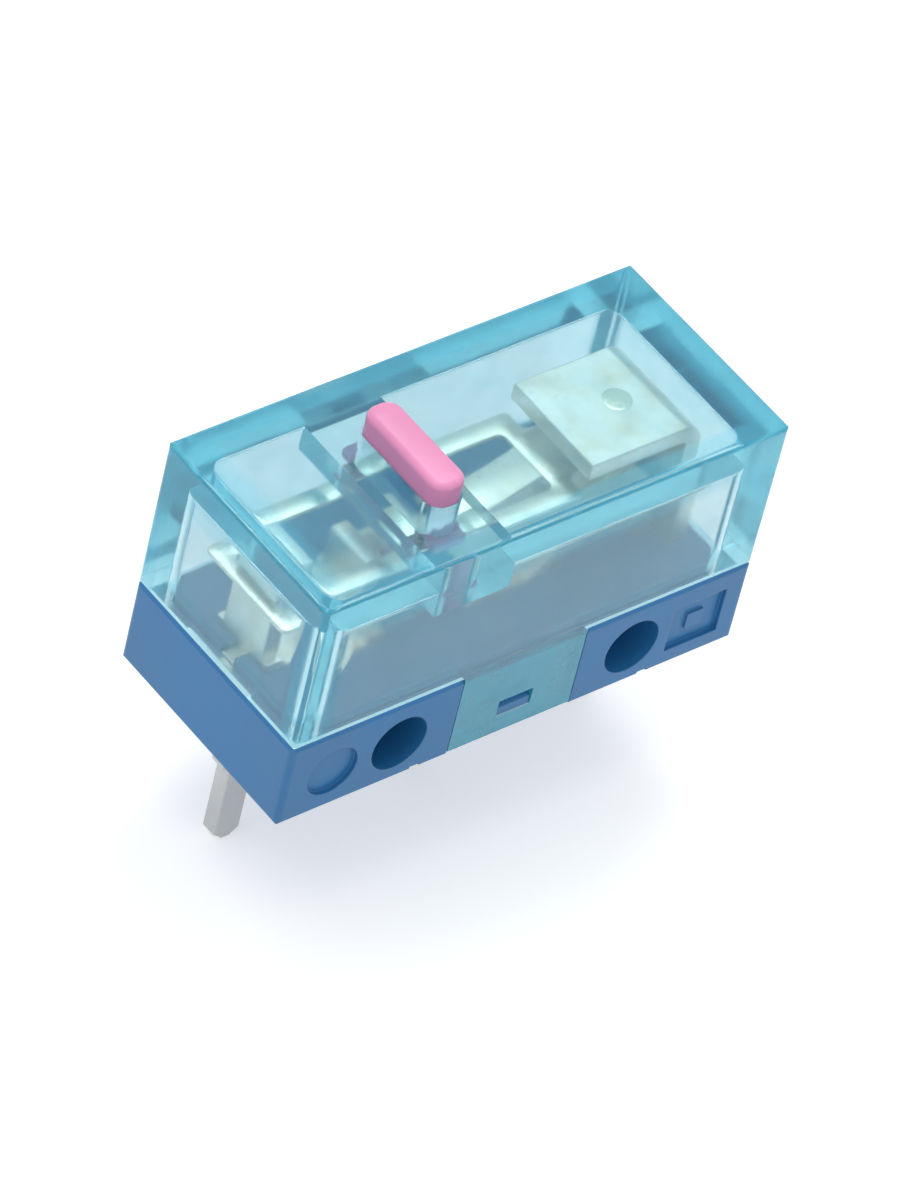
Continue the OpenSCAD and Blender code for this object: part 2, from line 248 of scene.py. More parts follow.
class Surface(Graph):
    """A material: a Principled shader, and what feeds it."""

    def __init__(self, name: str) -> None:
        """Starts a material with a shader, an output and its object coordinates.

        Args:
            name: The material's name.
        """
        self.material = bpy.data.materials.new(name)
        self.material.use_nodes = True
        super().__init__(self.material.node_tree)
        self.shader = self.node("ShaderNodeBsdfPrincipled")
        self.output = self.node("ShaderNodeOutputMaterial", sockets={"Surface": self.wire(self.shader)})
        self.place = self.wire(self.node("ShaderNodeTexCoord"), "Object")

    def set(self, **inputs: object) -> None:
        """Feeds the shader's own inputs, written as words joined by underscores."""
        for key, value in inputs.items():
            self.feed(self.shader, key.replace("_", " ").title().replace("Ior", "IOR"), value)

    def stretched(self, scale: Triple) -> Wire:
        """The object coordinates, multiplied along each axis."""
        node = self.node("ShaderNodeVectorMath", {"operation": "MULTIPLY"}, {0: self.place, 1: scale})
        return self.wire(node)

    def along(self, axis: str) -> Wire:
        """One of the object coordinates: X, Y or Z."""
        return self.wire(self.node("ShaderNodeSeparateXYZ", sockets={0: self.place}), axis)

    def reach(self, axis: str) -> Wire:
        """How far a point lies from the middle along one of the axes."""
        return self.math("ABSOLUTE", self.along(axis))

    def noise(self, feature: float, detail: Detail, stretch: Triple = (1.0, 1.0, 1.0)) -> Wire:
        """Smooth noise from about 0 to 1.

        Args:
            feature: The size of its largest features, in metres.
            detail: What it stands for, which gives its finer octaves.
            stretch: How much shorter the features are along each axis.

        Returns:
            The noise's value.
        """
        node = self.node(
            "ShaderNodeTexNoise",
            sockets={"Vector": self.stretched(stretch), "Scale": 1 / feature, "Detail": detail.value},
        )
        return self.wire(node, "Fac")

    def soft_edges(self, radius: float, samples: int = 6) -> Wire:
        """The normals of the surface with its sharp edges rounded to radius."""
        return self.wire(self.node("ShaderNodeBevel", {"samples": samples}, {"Radius": radius}))

    def edge_mask(self, normal: Wire, faint: float = 0.02, full: float = 0.25) -> Wire:
        """Finds the edges, where the rounded normal leaves the true one.

        The mask is a step on 1 - cos a, for the angle a between the two.

        Args:
            normal: The rounded normals.
            faint: Where the step starts.
            full: Where it ends.

        Returns:
            0 on the flats, and 1 on the edges.
        """
        true = self.wire(self.node("ShaderNodeNewGeometry"), "Normal")
        dot = self.node("ShaderNodeVectorMath", {"operation": "DOT_PRODUCT"}, {0: normal, 1: true})
        return self.between(1 - self.wire(dot, "Value"), faint, full)

    def bump(self, height: Wire, depth: float, normal: Wire | None = None) -> Wire:
        """The normals of the surface raised by height times depth.

        Args:
            height: From 0 to 1 over the surface.
            depth: The relief in metres.
            normal: The normals that it starts from, or None for the surface's own.

        Returns:
            The bumped normals.
        """
        sockets: dict[str | int, object] = {"Height": height, "Distance": depth}
        if normal is not None:
            sockets["Normal"] = normal
        return self.wire(self.node("ShaderNodeBump", sockets=sockets))


# ---------------------------------------------------------------- finishes


@dataclass(frozen=True)
class MouldedPlastic:
    """Opaque moulded plastic: a fine spark-eroded grain, faint flow marks and rubbed edges.

    A pair is where a pattern starts to show, and where it shows in full.
    """

    slot: Slot
    colour: Colour
    roughness: float = 0.36
    ior: float = 1.5
    edge_radius: float = 0.04 * MM
    edge_tint: float = 0.12
    grain: float = 0.05 * MM
    grain_depth: float = 0.0011 * MM
    grain_gloss: float = 0.06
    flow: float = 2.6 * MM
    flow_shade: float = 0.88
    flow_shaded: Pair = (0.3, 0.7)
    flow_gloss: float = 0.1
    flow_dulled: Pair = (0.25, 0.75)

    def material(self) -> bpy.types.Material:
        """Builds the finish.

        Returns:
            The material.
        """
        graph = Surface(self.slot.value)
        flow = graph.noise(self.flow, Detail.CLOUDS)
        grain = graph.noise(self.grain, Detail.GRAIN)
        rounded = graph.soft_edges(self.edge_radius)
        rubbed = graph.edge_mask(rounded)
        darker = tuple(c * self.flow_shade for c in self.colour)
        lighter = tuple(c + (1 - c) * self.edge_tint for c in self.colour)
        body = graph.mix(graph.between(flow, *self.flow_shaded), darker, self.colour)
        dull = self.flow_gloss * graph.between(flow, *self.flow_dulled)
        graph.set(
            base_color=graph.mix(rubbed, body, lighter),
            roughness=self.roughness - self.flow_gloss / 2 + dull + self.grain_gloss * grain,
            normal=graph.bump(grain, self.grain_depth, rounded),
            ior=self.ior,
        )
        return graph.material


@dataclass(frozen=True)
class ClearPlastic:
    """Polished tinted polycarbonate, whose colour deepens with the way through it.

    A little milk in it scatters light, most where the walls meet and in the clip tabs. Along the
    outer edge of its foot, at rim_z, a painted highlight makes a thin bright line: a pale colour
    and a glow that no lamp gives. inner and outer are how far the inner and the outer faces of the
    walls reach from the middle, and tab_reach is how far the tabs do along X. A pair is where a
    pattern starts to show, and where it shows in full.
    """

    slot: Slot
    tint: Colour = (0.0, 0.79, 0.88)
    density: float = 190.0
    ior: float = 1.56
    roughness: float = 0.08
    ripple: float = 1.7 * MM
    ripple_depth: float = 0.012 * MM
    scratch: float = 0.05 * MM
    scratch_stretch: Triple = (0.06, 1.0, 1.0)
    scratch_share: float = 0.008
    cloud: float = 0.9 * MM
    clouded: Pair = (0.3, 0.8)
    cloud_gloss: float = 0.04
    milk: Colour = (0.06, 0.62, 0.84)
    milk_roughness: float = 0.3
    haze: float = 0.14
    haze_swing: float = 0.5
    edge_haze: float = 0.2
    edge_fade: Pair = (0.94, 1.02)
    inner: Triple = (5.65 * MM, 2.4 * MM, 5.4 * MM)
    outer: Pair = (6.4 * MM, 2.9 * MM)
    tab_reach: float = 1.68 * MM
    tab_clear: float = 1.03
    tab_fade: float = 0.12 * MM
    tab_haze: float = 1.3
    # rim is the pale colour of a painted highlight along the foot's edge, and painted_rim_glow its glow,
    # which no lamp gives
    rim: Colour = (0.68, 0.95, 1.0)
    rim_highlight_cover: float = 0.95
    painted_rim_glow: float = 0.4
    rim_z: float = 2.32 * MM
    rim_fade: float = 0.03 * MM
    rim_height: float = 0.09 * MM
    rim_level: float = 0.6
    rim_depth: float = 0.42 * MM
    rim_inside: float = 0.7

    def material(self) -> bpy.types.Material:
        """Builds the finish.

        Returns:
            The material.
        """
        graph = Surface(self.slot.value)
        ripple = graph.noise(self.ripple, Detail.WAVES)
        scratches = graph.noise(self.scratch, Detail.GRAIN, self.scratch_stretch)
        normal = graph.bump(ripple + self.scratch_share * scratches, self.ripple_depth)
        clouds = graph.between(graph.noise(self.cloud, Detail.CLOUDS), *self.clouded)
        # rim masks the painted highlight on the foot's edge
        rim = self._rim_highlight(graph)
        cloudy = 1 - self.haze_swing / 2 + self.haze_swing * clouds
        milky = self.haze * cloudy + self.edge_haze * self._edges(graph)
        graph.set(
            base_color=(1.0, 1.0, 1.0, 1.0),
            roughness=self.roughness + self.cloud_gloss * clouds,
            normal=normal,
            transmission_weight=1.0,
            ior=self.ior,
        )
        # On that mask the milk takes the pale rim colour and glows: a painted highlight
        milk = graph.node(
            "ShaderNodeBsdfPrincipled",
            sockets={
                "Base Color": graph.mix(rim, self.milk, self.rim),
                "Emission Color": graph.mix(rim, (0.0, 0.0, 0.0), self.rim),
                "Emission Strength": self.painted_rim_glow,
                "Roughness": self.milk_roughness,
                "IOR": self.ior,
                "Normal": normal,
            },
        )
        share = graph.math("MAXIMUM", milky, self.rim_highlight_cover * rim)
        shaders = {0: share, 1: graph.wire(graph.shader), 2: graph.wire(milk)}
        mixed = graph.node("ShaderNodeMixShader", sockets=shaders)
        graph.feed(graph.output, "Surface", graph.wire(mixed))
        absorbed = {"Color": (*self.tint, 1.0), "Density": self.density}
        inside = graph.node("ShaderNodeVolumeAbsorption", sockets=absorbed)
        graph.feed(graph.output, "Volume", graph.wire(inside))
        return graph.material

    def _edges(self, graph: Surface) -> Wire:
        """Finds the places with the longest way through the plastic.

        A point is past an inner face where its distance from the middle is more than the face's.
        Past two of them it is on an edge.

        Args:
            graph: The material.

        Returns:
            1 where two walls meet, or a wall and the roof, tab_haze on the tabs, 0 on the flats.
        """
        start, end = self.edge_fade
        length, width, height = (
            graph.between(graph.reach(axis), start * face, end * face)
            for axis, face in zip("XYZ", self.inner)
        )
        corners = graph.math("MAXIMUM", length * width, height * graph.math("MAXIMUM", length, width))
        tabs = 1 - graph.between(graph.along("Z"), self.rim_z - self.tab_fade, self.rim_z)
        return graph.math("MAXIMUM", corners, self.tab_haze * tabs)

    def _rim_highlight(self, graph: Surface) -> Wire:
        """Masks the painted highlight on the outer edge of the walls' foot, but not on the clip tabs.

        It is the product of a step up at rim_z, a step down at rim_height above it, a step past
        the tabs, and the larger of the steps up at rim_depth inside the outer faces.

        Args:
            graph: The material.

        Returns:
            1 on that edge, and 0 elsewhere.
        """
        height = graph.along("Z")
        bottom = graph.between(height, self.rim_z - self.rim_fade, self.rim_z)
        fading = self.rim_z + self.rim_level * self.rim_height
        above = graph.between(height, fading, self.rim_z + self.rim_height)
        beside = graph.between(graph.reach("X"), self.tab_reach, self.tab_clear * self.tab_reach)
        solid = self.rim_inside * self.rim_depth
        outside = [
            graph.between(graph.reach(axis), face - self.rim_depth, face - solid)
            for axis, face in zip("XY", self.outer)
        ]
        return bottom * (1 - above) * beside * graph.math("MAXIMUM", *outside)


@dataclass(frozen=True)
class SheetMetal:
    """Rolled and plated sheet: fine rolling lines, a cloudy plating with dark specks, and tin with painted
    shade.

    Below tin_and_shade_z, on a terminal's pin, the sheet turns dark grey: tin, darkened further as a
    painted shade of the pin under the body. lines holds how much shorter the rolling lines are along each
    axis. A pair is where a pattern starts to show, and where it shows in full.
    """

    slot: Slot
    colour: Colour
    cloud: Colour
    roughness: float = 0.38
    lines: Triple = (0.05, 1.0, 1.0)
    line_width: float = 0.035 * MM
    line_gloss: float = 0.1
    relief: float = 0.0008 * MM
    cloud_size: float = 0.7 * MM
    cloud_relief: float = 0.6
    cloud_gloss: float = 0.14
    cloud_dulled: Pair = (0.3, 0.8)
    cloud_tinted: Pair = (0.35, 0.7)
    speck: float = 0.12 * MM
    speck_shown: Pair = (0.62, 0.74)
    speck_share: float = 0.35
    speck_shade: float = 0.62
    tin_and_shade: Colour = (0.52, 0.53, 0.53)
    tin_and_shade_z: float = -1.0
    tin_and_shade_fade: float = 0.3 * MM

    def material(self) -> bpy.types.Material:
        """Builds the finish.

        Returns:
            The material.
        """
        graph = Surface(self.slot.value)
        lines = graph.noise(self.line_width, Detail.LINES, self.lines)
        clouds = graph.noise(self.cloud_size, Detail.CLOUDS)
        specks = graph.between(graph.noise(self.speck, Detail.GRAIN), *self.speck_shown)
        cloudy = graph.mix(graph.between(clouds, *self.cloud_tinted), self.colour, self.cloud)
        specked = tuple(c * self.speck_shade for c in self.cloud)
        plated = graph.mix(self.speck_share * specks, cloudy, specked)
        # Below tin_and_shade_z the colour turns to dipped: tin grey, darkened as a painted shade of the
        # pins under the body
        height = graph.along("Z") + self.tin_and_shade_fade * clouds
        clear = graph.between(height, self.tin_and_shade_z, self.tin_and_shade_z + self.tin_and_shade_fade)
        dull = self.roughness + self.cloud_gloss * graph.between(clouds, *self.cloud_dulled)
        graph.set(
            base_color=graph.mix(clear, self.tin_and_shade, plated),
            roughness=dull + self.line_gloss * (lines - 0.5),
            normal=graph.bump(lines + self.cloud_relief * clouds, self.relief),
            metallic=1.0,
        )
        return graph.material


# ---------------------------------------------------------------- surfaces


@dataclass(frozen=True)
class Patch:
    """A closed surface on a grid: each row is a ring, and the rows run along the piece.

    Where looped is true the last row joins the first. Otherwise both end rings are capped.
    """

    points: np.ndarray
    looped: bool = False

    def _numbers(self) -> np.ndarray:
        """The number of each point in the flat list, rows by columns."""
        rows, columns = self.points.shape[:2]
        return np.arange(rows * columns).reshape(rows, columns)

    def quads(self) -> np.ndarray:
        """Lists the quads between each row and the next.

        Returns:
            The four corners of every quad, as numbers in the flat list of points.
        """
        numbers = self._numbers()
        below = numbers if self.looped else numbers[:-1]
        above = np.roll(numbers, -1, axis=0) if self.looped else numbers[1:]
        corners = (below, np.roll(below, -1, axis=1), np.roll(above, -1, axis=1), above)
        return np.stack(corners, axis=-1).reshape(-1, 4)

    def caps(self) -> list[list[int]]:
        """Lists the faces that close the two ends, wound like the quads.

        Returns:
            The corners of the two faces, or nothing for a looped surface.
        """
        numbers = self._numbers()
        return [] if self.looped else [numbers[0, ::-1].tolist(), numbers[-1].tolist()]

    def volume(self) -> float:
        """Works out the volume inside.

        It is the sum of a . (b x c) / 6 over the tetrahedra that the quads' triangles, and those
        of the caps' fans, make with the middle of the piece.

        Returns:
            The volume, negative where the faces point inwards.
        """
        flat = self.points.reshape(-1, 3)
        flat = flat - flat.mean(axis=0)
        a, b, c, d = (flat[self.quads()[:, k]] for k in range(4))
        total = np.einsum("ij,ij->", a, np.cross(b, c)) + np.einsum("ij,ij->", a, np.cross(c, d))
        for cap in self.caps():
            ring = flat[cap]
            fan = np.cross(ring[1:-1], ring[2:])
            total += np.einsum("ij,ij->", np.broadcast_to(ring[0], fan.shape), fan)
        return float(total) / 6

    def outward(self) -> Patch:
        """The same surface with its faces pointing outwards."""
        return self if self.volume() > 0 else Patch(self.points[:, ::-1], self.looped)


def shown(name: str, data: bpy.types.ID) -> bpy.types.Object:
    """Makes an object of a mesh, a lamp or a camera, and puts it in the scene.

    Args:
        name: The object's name.
        data: What it shows.

    Returns:
        The object, at the origin.
    """
    made = bpy.data.objects.new(name, data)
    bpy.context.scene.collection.objects.link(made)
    return made


def piece(
    name: str, patches: Sequence[Patch], finish: bpy.types.Material, sharp: float = 34.0
) -> bpy.types.Object:
    """Makes one object of closed surfaces.

    Args:
        name: The object's name.
        patches: Its surfaces, in metres.
        finish: Its material.
        sharp: The angle in degrees from which an edge is drawn sharp.

    Returns:
        The object, at the origin.
    """
    points: list[np.ndarray] = []
    faces: list[list[int]] = []
    first = 0
    for patch in (p.outward() for p in patches):
        points.append(patch.points.reshape(-1, 3))
        faces += (patch.quads() + first).tolist()
        faces += [[first + n for n in cap] for cap in patch.caps()]
        first += len(points[-1])
    mesh = bpy.data.meshes.new(name)
    mesh.from_pydata(np.concatenate(points).tolist(), [], faces)
    mesh.polygons.foreach_set("use_smooth", np.ones(len(mesh.polygons), bool))
    mesh.set_sharp_from_angle(angle=math.radians(sharp))
    mesh.materials.append(finish)
    made = shown(name, mesh)
    weighted = made.modifiers.new("even_flats", "WEIGHTED_NORMAL")
    weighted.keep_sharp = True
    weighted.weight = 100
    return made


def _unit(vectors: np.ndarray) -> np.ndarray:
    """The vectors at length 1. A vector with no length stays as it is."""
    length = np.linalg.norm(vectors, axis=-1, keepdims=True)
    return vectors / np.where(length > 0, length, 1)


def rounded_ring(
    half: np.ndarray, low: np.ndarray, high: np.ndarray, radius: np.ndarray, steps: int
) -> tuple[np.ndarray, np.ndarray]:
    """Rectangles with rounded corners, one for each row.

    Each corner is a quarter circle about a point that lies radius inside both of its sides.

    Args:
        half: Half the width of each rectangle.
        low: Its lower side.
        high: Its upper side.
        radius: The radius of its corners.
        steps: How many steps each corner has.

    Returns:
        The ring's places across the width, and through the thickness, rows by points.
    """
    turn = np.linspace(0, QUARTER, steps + 1)
    angle = (turn[None, :] + np.arange(4)[:, None] * QUARTER).ravel()
    right = np.repeat([1.0, -1.0, -1.0, 1.0], steps + 1)
    top = np.repeat([True, True, False, False], steps + 1)
    across = right * (half - radius)[:, None] + radius[:, None] * np.cos(angle)
    middle = np.where(top, (high - radius)[:, None], (low + radius)[:, None])
    return across, middle + radius[:, None] * np.sin(angle)


def rounded_ends(rows: np.ndarray, edge: float, steps: int) -> tuple[np.ndarray, np.ndarray]:
    """Adds rows at both ends of a path, where the section draws in along a quarter circle.

    At the angle a along it, a row lies edge (1 - cos a) from the tip, and its section is edge
    (1 - sin a) inside its full size.

    Args:
        rows: The path's rows. The first two columns are its place, the rest its section.
        edge: The radius of the quarter circle.
        steps: How many rows each end gets.

    Returns:
        The longer path, and how far the section lies inside its full size on each row.
    """
    turn = np.linspace(0, QUARTER, steps + 1)[:, None]
    inset = edge * (1 - np.sin(turn[:, 0]))
    ends = []
    for tip, inner in ((rows[0], rows[1]), (rows[-1], rows[-2])):
        way = (inner[:2] - tip[:2]) / np.linalg.norm(inner[:2] - tip[:2])
        place = tip[:2] + way * edge * (1 - np.cos(turn))
        ends.append(np.hstack([place, np.repeat(tip[None, 2:], steps + 1, axis=0)]))
    longer = np.vstack([ends[0], rows[1:-1], ends[1][::-1]])
    insets = np.concatenate([inset, np.zeros(len(rows) - 2), inset[::-1]])
    return longer, insets


def ribbon(rows: np.ndarray, edge: float, steps: int = 3, least: float = 0.05) -> Patch:
    """A rounded strip of metal carried along a path in the XZ plane.

    The section is a rounded rectangle. Its width lies along Y, and its thickness along the
    path's normal, which is the tangent turned by a quarter turn. The tangent is the mean of the
    ways from the row before and to the row after, so at a fold the section stands on the mitre.

    Args:
        rows: For each place along the path: x, z, half the width, the lower and the upper face.
        edge: The radius of the strip's edges.
        steps: The steps round each edge.
        least: The share of that radius that is left at the strip's tips.

    Returns:
        The closed surface.
    """
    longer, inset = rounded_ends(rows, edge, steps)
    place, half, low, high = longer[:, :2], longer[:, 2], longer[:, 3], longer[:, 4]
    ahead, behind = np.vstack([place[1:], place[-1:]]), np.vstack([place[:1], place[:-1]])
    tangent = _unit(_unit(ahead - place) + _unit(place - behind))
    normal = np.stack([-tangent[:, 1], tangent[:, 0]], axis=1)
    radius = np.maximum(edge - inset, edge * least)
    across, through = rounded_ring(half - inset, low + inset, high - inset, radius, steps)
    flat = place[:, None, :] + normal[:, None, :] * through[:, :, None]
    return Patch(np.stack([flat[:, :, 0], across, flat[:, :, 1]], axis=-1))


def _line(start: Pair, end: Pair, steps: int) -> np.ndarray:
    """Points on the straight way from start up to, but not at, end."""
    share = np.linspace(0, 1, steps, endpoint=False)[:, None]
    return np.array(start) * (1 - share) + np.array(end) * share


def _arc(centre: Pair, radius: float, start: float, end: float, steps: int) -> np.ndarray:
    """Points on a circle from the angle start up to, but not at, the angle end."""
    angle = np.linspace(start, end, steps, endpoint=False)
    return np.array(centre) + radius * np.stack([np.cos(angle), np.sin(angle)], axis=1)


def folded(corners: np.ndarray, radius: float, steps: int = 8) -> np.ndarray:
    """A path with an arc at each of its inner corners.

    The arc touches both sides at radius / tan(half the corner's angle) from the corner, and
    its points are the chord's, pushed out from the arc's centre.

    Args:
        corners: The corners, each x and z and then its section, which the arc keeps.
        radius: The arcs' radius.
        steps: The steps along each arc.

    Returns:
        The path's rows.
    """
    rows = [corners[:1]]
    for before, corner, after in zip(corners[:-2], corners[1:-1], corners[2:]):
        back, ahead = _unit(before[:2] - corner[:2]), _unit(after[:2] - corner[:2])
        half = math.acos(float(np.clip(back @ ahead, -1, 1))) / 2
        if half > NEARLY_STRAIGHT:
            rows.append(corner[None])
            continue
        centre = corner[:2] + _unit(back + ahead) * radius / math.sin(half)
        share = np.linspace(0, 1, steps + 1)[:, None]
        reach = radius / math.tan(half)
        chord = (corner[:2] + back * reach) * (1 - share) + (corner[:2] + ahead * reach) * share
        arc = centre + _unit(chord - centre) * radius
        rows.append(np.hstack([arc, np.repeat(corner[None, 2:], steps + 1, axis=0)]))
    return np.vstack(rows + [corners[-1:]])


def lathe(profile: np.ndarray, centre: Pair, steps: int = 48) -> Patch:
    """A profile turned about an upright axis.

    A point of the profile at radius r and height z goes to (r cos a, r sin a, z) at angle a.

    Args:
        profile: Its points, each a radius and a height, from one end to the other.
        centre: The axis's x and y.
        steps: The steps round the axis.

    Returns:
        The closed surface.
    """
    angle = np.linspace(0, 2 * np.pi, steps, endpoint=False)
    radius, height = profile[:, 0, None], profile[:, 1, None]
    x = centre[0] + radius * np.cos(angle)
    y = centre[1] + radius * np.sin(angle)
    return Patch(np.stack([x, y, np.broadcast_to(height, x.shape)], axis=-1))


def stack(levels: np.ndarray, centre: Pair, steps: int = 8) -> Patch:
    """Rounded rectangles one above the other.

    Args:
        levels: For each level: z, half the size along X, half the size along Y, and the radius
            of the corners.
        centre: The middle's x and y.
        steps: The steps round each corner.

    Returns:
        The closed surface.
    """
    z, half_x, half_y, radius = levels.T
    x, y = rounded_ring(half_x, -half_y, half_y, radius, steps)
    height = np.broadcast_to(z[:, None], x.shape)
    return Patch(np.stack([centre[0] + x, centre[1] + y, height], axis=-1))


# ---------------------------------------------------------------- sub-assemblies


@dataclass
class Layout:
    """The heights and places that the pieces inside the switch share.

    sheet, spring and contact are thicknesses, fold is the radius of the terminals' bends, and
    pitch is the way from one terminal to the next.
    """

    floor: float = 2.6 * MM
    sheet: float = 0.45 * MM
    fold: float = 0.4 * MM
    spring: float = 0.1 * MM
    contact: float = 0.2 * MM
    travel: float = 0.5 * MM
    roof_gap: float = 0.08 * MM
    roof: float = 1.1 * MM
    body_top: float = 6.5 * MM
    pitch: float = 5.08 * MM
    seat_drop: float = 0.75 * MM
    contact_inset: float = 1.18 * MM
    overhang: float = 0.65 * MM

    @property
    def ceiling(self) -> float:
        """The underside of the cover's roof."""
        return self.body_top - self.roof

    @property
    def closed_plate(self) -> float:
        """The underside of the normally closed terminal's plate."""
        return self.ceiling - self.roof_gap - self.sheet

    @property
    def spring_top(self) -> float:
        """The upper face of the snap spring."""
        return self.closed_plate - 2 * self.contact

    @property
    def spring_middle(self) -> float:
        """The middle of the snap spring's sheet."""
        return self.spring_top - self.spring / 2

    @property
    def open_plate(self) -> float:
        """The upper face of the normally open terminal's plate."""
        return self.spring_top - self.spring - 2 * self.contact - self.travel

    @property
    def sheet_middle(self) -> float:
        """The middle of the sheet that lies flush with the floor."""
        return self.floor - self.sheet / 2

    @property
    def blade_top(self) -> float:
        """The top of a terminal's blade, which ends inside the sheet."""
        return self.floor - self.sheet / 3

    @property
    def contact_x(self) -> float:
        """The place of the contacts along the body."""
        return self.pitch - self.contact_inset

    @property
    def arm_end(self) -> float:
        """Where the spring's arm and the normally open plate end."""
        return self.contact_x + self.overhang


@dataclass
class Housing:
    """The moulded base and the clear cover that clips on it."""

    base: MouldedPlastic = MouldedPlastic(Slot.BASE, (0.022, 0.185, 0.44))
    cover: ClearPlastic = ClearPlastic(Slot.COVER)

    def dress(self, nodes: Mapping[str, bpy.types.Object]) -> None:
        """Gives the two mouldings their finishes.

        Args:
            nodes: The frame's objects by the name of their node.
        """
        for name, finish in (("base", self.base), ("cover", self.cover)):
            nodes[name].material_slots[0].material = finish.material()
            LOG.info("%s: dressed as %s", name, finish.slot.value)


@dataclass
class Button:
    """The plunger: an upright bar with rounded ends, a soft crown, and ears on its foot.

    Below the arch the foot has two legs, from leg_inside outwards, which stand on the spring's
    legs. sharpest and roundest bound a corner's radius, as shares of half the width.
    """

    layout: Layout
    x: float = -1.95 * MM
    length: float = 2.85 * MM
    width: float = 0.9 * MM
    rise: float = 0.6 * MM
    corner: float = 0.37 * MM
    crown: float = 0.17 * MM
    dome: float = 0.015 * MM
    ear: float = 0.3 * MM
    ear_root: float = 0.4 * MM
    ear_thickness: float = 0.2 * MM
    foot_bevel: float = 0.06 * MM
    foot_corner: float = 0.35
    leg_inside: float = 0.95 * MM
    arch: float = 0.3 * MM
    sharpest: float = 0.2
    roundest: float = 0.98
    crown_steps: int = 9
    crown_shares: tuple[float, ...] = (0.25, 0.5, 0.75, 0.97)
    corner_steps: int = 10
    foot_steps: int = 6
    finish: MouldedPlastic = MouldedPlastic(
        Slot.PLUNGER, (0.90, 0.32, 0.57), roughness=0.3, edge_radius=0.02 * MM, edge_tint=0.2
    )

    def _bar(self) -> Patch:
        """The bar from the arch up to its crown.

        The crown draws each side in by crown (1 - cos a) at height crown sin a, and then closes
        over the top along a shallow parabola.

        Returns:
            The closed surface.
        """
        top = self.layout.body_top + self.rise - self.dome
        low = self.layout.spring_top + self.arch
        turn = np.linspace(0, QUARTER, self.crown_steps)
        inset = np.concatenate([[0.0], self.crown * (1 - np.cos(turn))])
        height = np.concatenate([[low], top - self.crown + self.crown * np.sin(turn)])
        rest = self.width / 2 - self.crown
        share = np.array(self.crown_shares)
        inset = np.concatenate([inset, self.crown + rest * share])
        height = np.concatenate([height, top + self.dome * (1 - (1 - share) ** 2)])
        half_x, half_y = self.width / 2 - inset, self.length / 2 - inset
        radius = np.clip(self.corner - inset, half_x * self.sharpest, half_x * self.roundest)
        levels = np.stack([height, half_x, half_y, radius], axis=1)
        return stack(levels, (self.x, 0.0), self.corner_steps)

    def _foot(self, side: float, inner: float, outer: float, top: float) -> Patch:
        """One block of the foot, with a bevelled underside.

        Args:
            side: 1 for the side along +Y, and -1 for the other.
            inner: Where the block starts along Y.
            outer: Where it ends.
            top: The height of its top.

        Returns:
            The closed surface.
        """
        low = self.layout.spring_top
        bevel = self.foot_bevel
        inset = np.array([bevel, 0.0, 0.0])
        height = np.array([low, low + bevel, top])
        half_x, half_y = self.width / 2 - inset, (outer - inner) / 2 - inset
        radius = np.clip(half_y * self.foot_corner, 0, self.corner)
        levels = np.stack([height, half_x, half_y, radius], axis=1)
        return stack(levels, (self.x, side * (inner + outer) / 2), self.foot_steps)

    def build(self) -> bpy.types.Object:
        """Makes the plunger, which rides on its own body.

        Returns:
            The plunger.
        """
        end = self.length / 2
        arch = self.layout.spring_top + self.arch
        ears = self.layout.spring_top + self.ear_thickness
        blocks = [self._bar()]
        for side in (-1.0, 1.0):
            blocks.append(self._foot(side, self.leg_inside, end, arch))
            blocks.append(self._foot(side, end - self.ear_root, end + self.ear, ears))
        made = piece("plunger_bar", blocks, self.finish.material())
        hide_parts("plunger")
        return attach(made, Body.PLUNGER.value)


def _notch(
    x: float, start: float, end: float, half: float, depth: Pair, lean: float
) -> list[tuple[float, ...]]:
    """The stations of a notch across an upright strip.

    Args:
        x: The strip's place.
        start: The height where the notch starts, on the way along the strip.
        end: The height where it ends.
        half: Half the strip's width.
        depth: How far the lower and the upper face draw back in the notch.
        lean: How far each wall of the notch leans, positive on the way down.

    Returns:
        Four stations: x, z, half width, and how far the two faces draw back.
    """
    return [
        (x, start + lean, half, 0.0, 0.0),
        (x, start, half, *depth),
        (x, end, half, *depth),
        (x, end - lean, half, 0.0, 0.0),
    ]


